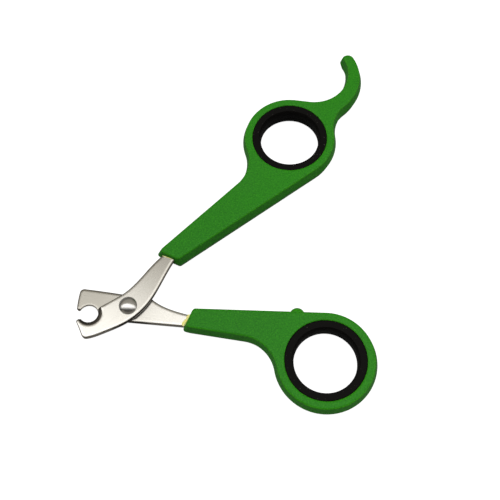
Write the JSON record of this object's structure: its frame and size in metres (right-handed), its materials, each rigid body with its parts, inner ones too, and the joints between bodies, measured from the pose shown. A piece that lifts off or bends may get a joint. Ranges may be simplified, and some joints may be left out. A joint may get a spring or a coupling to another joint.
{
  "type": "scissor nail clipper",
  "caption": "Scissor-type pet nail clipper with notched steel blades on a rivet, drafted plastic handles with rubber-lined finger rings, and a curved finger rest.",
  "frame": {"origin": "bottom centre of the box round the whole tool, on the surface that it lies on", "axes": "+X along the lower handle from the rivet to its ring, +Y from the lower ring to the upper ring, in the plane of the blades, +Z towards the rivet's dome"},
  "size_m": [0.0988, 0.1338, 0.0072],
  "materials": {
    "blade_steel": "satin-ground stainless steel with rounded edges",
    "rivet_steel": "polished steel dome",
    "handle_plastic": "satin moulded green plastic with a fine grain",
    "ring_rubber": "matte black rubber",
    "stop_plastic": "smooth green plastic, slightly glossier than the handle",
    "set_glue": "hardened pale yellow adhesive"
  },
  "bodies": {
    "lower_half": {"lower_handle": "handle_plastic", "rear_blade": "blade_steel", "lower_ring_lining": "ring_rubber", "pivot_rivet": "rivet_steel", "bumper_stud": "stop_plastic", "lower_tang_glue": "set_glue"},
    "upper_half": {"upper_handle": "handle_plastic", "front_blade": "blade_steel", "upper_ring_lining": "ring_rubber", "upper_tang_glue": "set_glue"}
  },
  "joints": [
    {"name": "rivet_pivot", "type": "hinge", "parent": "lower_half", "child": "upper_half", "pos_m": [-0.03205, -0.03377, 0.0036], "axis": [0, 0, 1], "range_deg": [-38.5, 45]}
  ]
}
